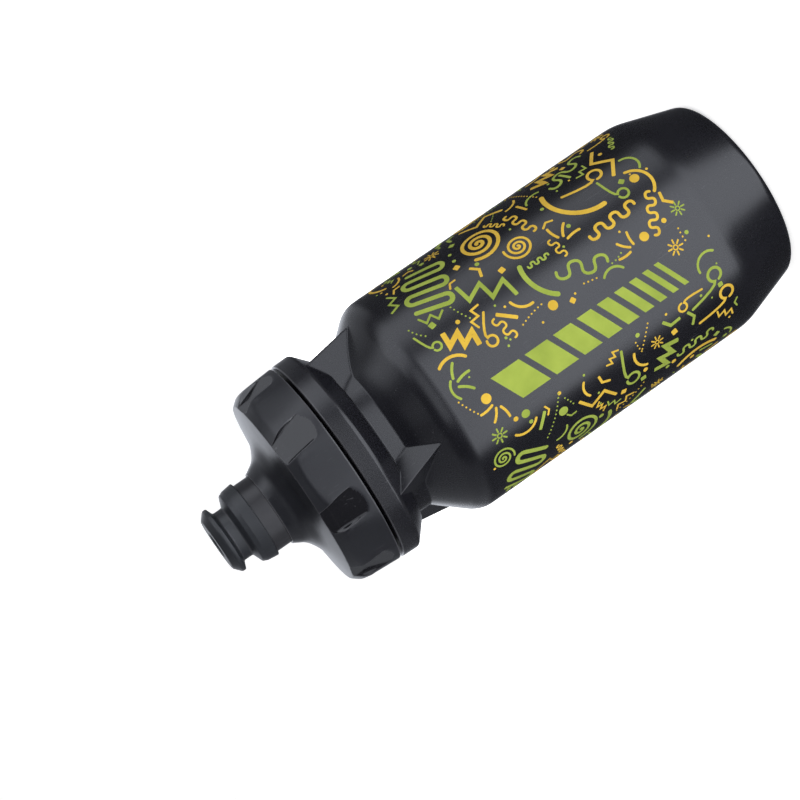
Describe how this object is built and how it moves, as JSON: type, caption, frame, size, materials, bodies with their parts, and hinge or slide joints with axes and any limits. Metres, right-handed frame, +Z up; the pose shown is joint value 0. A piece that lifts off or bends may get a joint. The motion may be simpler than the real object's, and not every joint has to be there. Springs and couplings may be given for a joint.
{
  "type": "bicycle water bottle",
  "caption": "Squeeze bottle for a bicycle cage: round hollow body with a finned neck, screw cap with a fluted grip, and push-pull spout.",
  "frame": {"origin": "centre of the base, on the plane that the bottle stands on", "axes": "+Z up along the bottle's axis, towards the spout; -Y is the side that faces the viewer in the reference view"},
  "size_m": [0.0734, 0.0734, 0.1935],
  "materials": {
    "bottle_plastic": "satin blown polyethylene with a soft sheen, printed in yellow and green",
    "cap_plastic": "fine-grained moulded polypropylene with glossier grip pockets",
    "carrier_plastic": "satin moulded polypropylene",
    "tip_rubber": "matte soft thermoplastic elastomer",
    "seal_rubber": "smooth silicone"
  },
  "bodies": {
    "bottle": {"bottle_body": "bottle_plastic"},
    "gasket": {"cap_gasket": "seal_rubber"},
    "cap": {"cap_shell": "cap_plastic", "valve_post": "carrier_plastic"},
    "spout": {"spout_carrier": "carrier_plastic", "bite_tip": "tip_rubber", "stem_seal": "seal_rubber"}
  },
  "joints": [
    {"name": "cap_lift", "type": "slide", "parent": "bottle", "child": "gasket", "axis": [0, 0, 1], "range_m": [0, 0.018]},
    {"name": "cap_turn", "type": "hinge", "parent": "gasket", "child": "cap", "pos_m": [0, 0, 0.16], "axis": [0, 0, 1], "range_deg": [0, 1080]},
    {"name": "spout_pull", "type": "slide", "parent": "cap", "child": "spout", "axis": [0, 0, 1], "range_m": [-0.0048, 0]}
  ],
  "couplings": [
    {"joint": "cap_lift", "follows": "cap_turn", "m_per_rad": 0.00095493}
  ]
}
